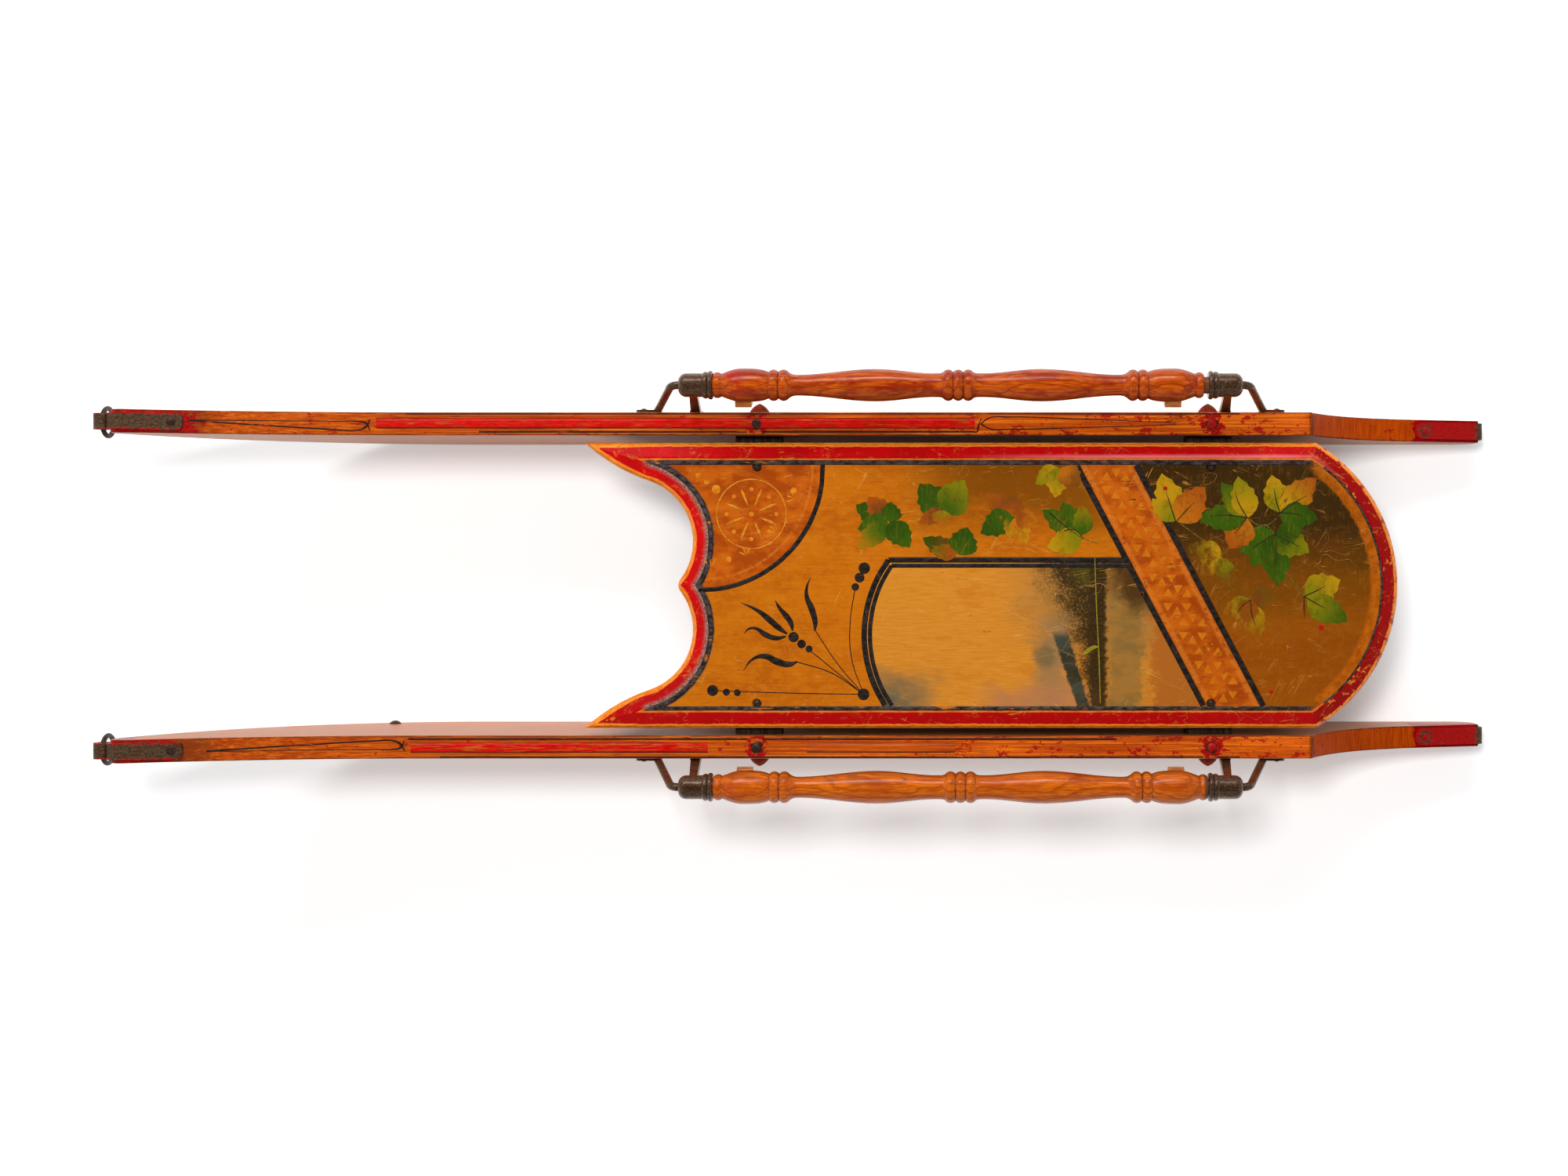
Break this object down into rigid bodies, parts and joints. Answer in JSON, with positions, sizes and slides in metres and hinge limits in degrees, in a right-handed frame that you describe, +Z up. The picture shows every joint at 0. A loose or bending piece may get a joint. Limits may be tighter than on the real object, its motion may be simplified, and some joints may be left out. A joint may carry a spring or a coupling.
{
  "type": "child's runner sled",
  "caption": "Painted wooden child's sled: deck board on crossbars between two upswept runner boards with iron shoes, turned hand rails in cast brackets and tow rings at the noses.",
  "frame": {"origin": "on the ground, under the middle of the sled's length and width", "axes": "+X from the nose to the tail, +Y to the right-hand runner, +Z up"},
  "size_m": [1.158, 0.35, 0.1915],
  "materials": {
    "painted_deck": "amber varnish over painted decoration, worn",
    "black_painted_wood": "black paint, ends varnished",
    "varnished_ash": "amber varnish with worn red stripes",
    "varnished_maple": "glossy orange-brown varnish",
    "plain_maple": "old varnish",
    "strap_iron": "dark iron with traces of red paint",
    "dark_iron": "dark, oiled",
    "bright_iron": "rubbed bright",
    "red_painted_iron": "red paint",
    "ring_iron": "dark forged iron",
    "cast_iron_brown": "cast, brown patina"
  },
  "bodies": {
    "sled": {"deck_board": "painted_deck", "front_crossbar": "black_painted_wood", "rear_crossbar": "black_painted_wood", "front_crossbar_pins": "dark_iron", "rear_crossbar_pins": "red_painted_iron", "right_runner": "varnished_ash", "left_runner": "varnished_ash", "left_runner_bolt": "dark_iron", "nose_strap_rivets": "dark_iron", "tail_strap_rivets": "dark_iron", "shoe_screws": "bright_iron", "deck_bolts": "dark_iron", "deck_washers": "dark_iron", "deck_nuts": "dark_iron", "bracket_screws": "dark_iron", "right_runner_shoe": "strap_iron", "left_runner_shoe": "strap_iron", "right_front_bracket": "cast_iron_brown", "right_rear_bracket": "cast_iron_brown", "left_front_bracket": "cast_iron_brown", "left_rear_bracket": "cast_iron_brown"},
    "right_hand_rail_turned": {"right_hand_rail": "varnished_maple", "right_rail_plugs": "plain_maple"},
    "left_hand_rail_turned": {"left_hand_rail": "varnished_maple", "left_rail_plugs": "plain_maple"},
    "right_ring": {"right_tow_ring": "ring_iron"},
    "left_ring": {"left_tow_ring": "ring_iron"}
  },
  "joints": [
    {"name": "right_rail_turn", "type": "hinge", "parent": "sled", "child": "right_hand_rail_turned", "pos_m": [0.12125, 0.1615, 0.178], "axis": [1, 0, 0], "continuous": true},
    {"name": "left_rail_turn", "type": "hinge", "parent": "sled", "child": "left_hand_rail_turned", "pos_m": [0.12125, -0.1615, 0.178], "axis": [1, 0, 0], "continuous": true},
    {"name": "right_ring_swing", "type": "hinge", "parent": "sled", "child": "right_ring", "pos_m": [-0.5719, 0.133, 0.16868], "axis": [0, 1, 0], "range_deg": [-20, 215]},
    {"name": "left_ring_swing", "type": "hinge", "parent": "sled", "child": "left_ring", "pos_m": [-0.5719, -0.133, 0.16868], "axis": [0, 1, 0], "range_deg": [-20, 215]}
  ]
}
